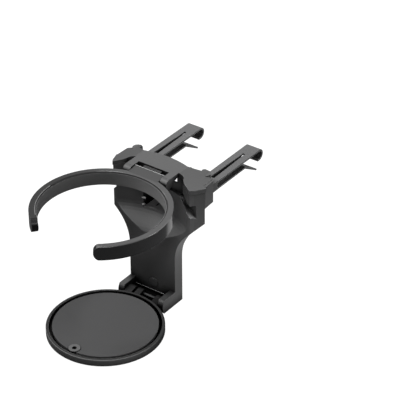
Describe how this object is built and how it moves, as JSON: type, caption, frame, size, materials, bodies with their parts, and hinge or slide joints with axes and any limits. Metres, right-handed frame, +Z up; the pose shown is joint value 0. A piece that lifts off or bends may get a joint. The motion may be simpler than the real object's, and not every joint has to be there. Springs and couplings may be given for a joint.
{
  "type": "car vent cup holder",
  "caption": "Folding cup holder for a car's air vent: a C-shaped ring and a round base disc hinge on an arm whose housing grips the vent slats with sprung hook clips.",
  "frame": {"origin": "midway between the two clip strips, on the rear face of the housing and at half the thickness of the strips", "axes": "+X to the holder's right seen from the cup's side, +Y rearwards into the vent along the clips, +Z up, along the cup's axis"},
  "size_m": [0.08, 0.1544, 0.088],
  "materials": {
    "black_plastic": "fine satin texture, charcoal black",
    "clip_plastic": "satin, dark grey",
    "soft_liner": "matt",
    "soft_pad": "matt, fine grain",
    "steel": "plain"
  },
  "bodies": {
    "housing": {"top_cover": "black_plastic", "arm": "black_plastic", "rear_cover": "black_plastic", "catch_cover": "black_plastic", "stop_pegs": "clip_plastic", "ring_pin": "steel", "base_pin": "steel", "left_blade": "clip_plastic", "right_blade": "clip_plastic", "left_hook_spring": "steel", "right_hook_spring": "steel", "cover_screws": "steel", "arm_screws": "steel", "blade_screws": "steel"},
    "ring": {"cup_ring": "black_plastic", "ring_liner": "soft_liner"},
    "base": {"base_disc": "black_plastic", "base_pad": "soft_pad"},
    "hook_left": {"left_hook": "clip_plastic"},
    "hook_right": {"right_hook": "clip_plastic"}
  },
  "joints": [
    {"name": "ring_hinge", "type": "hinge", "parent": "housing", "child": "ring", "pos_m": [0, -0.0212, 0.0104], "axis": [1, 0, 0], "range_deg": [0, 90]},
    {"name": "base_hinge", "type": "hinge", "parent": "housing", "child": "base", "pos_m": [0, -0.0244, -0.0702], "axis": [-1, 0, 0], "range_deg": [0, 90]},
    {"name": "left_hook_slide", "type": "slide", "parent": "housing", "child": "hook_left", "axis": [0, 1, 0], "range_m": [0, 0.004], "stiffness_N_per_m": 300, "springref_m": -0.003, "deforming": ["left_hook_spring"]},
    {"name": "right_hook_slide", "type": "slide", "parent": "housing", "child": "hook_right", "axis": [0, 1, 0], "range_m": [0, 0.004], "stiffness_N_per_m": 300, "springref_m": -0.003, "deforming": ["right_hook_spring"]}
  ]
}
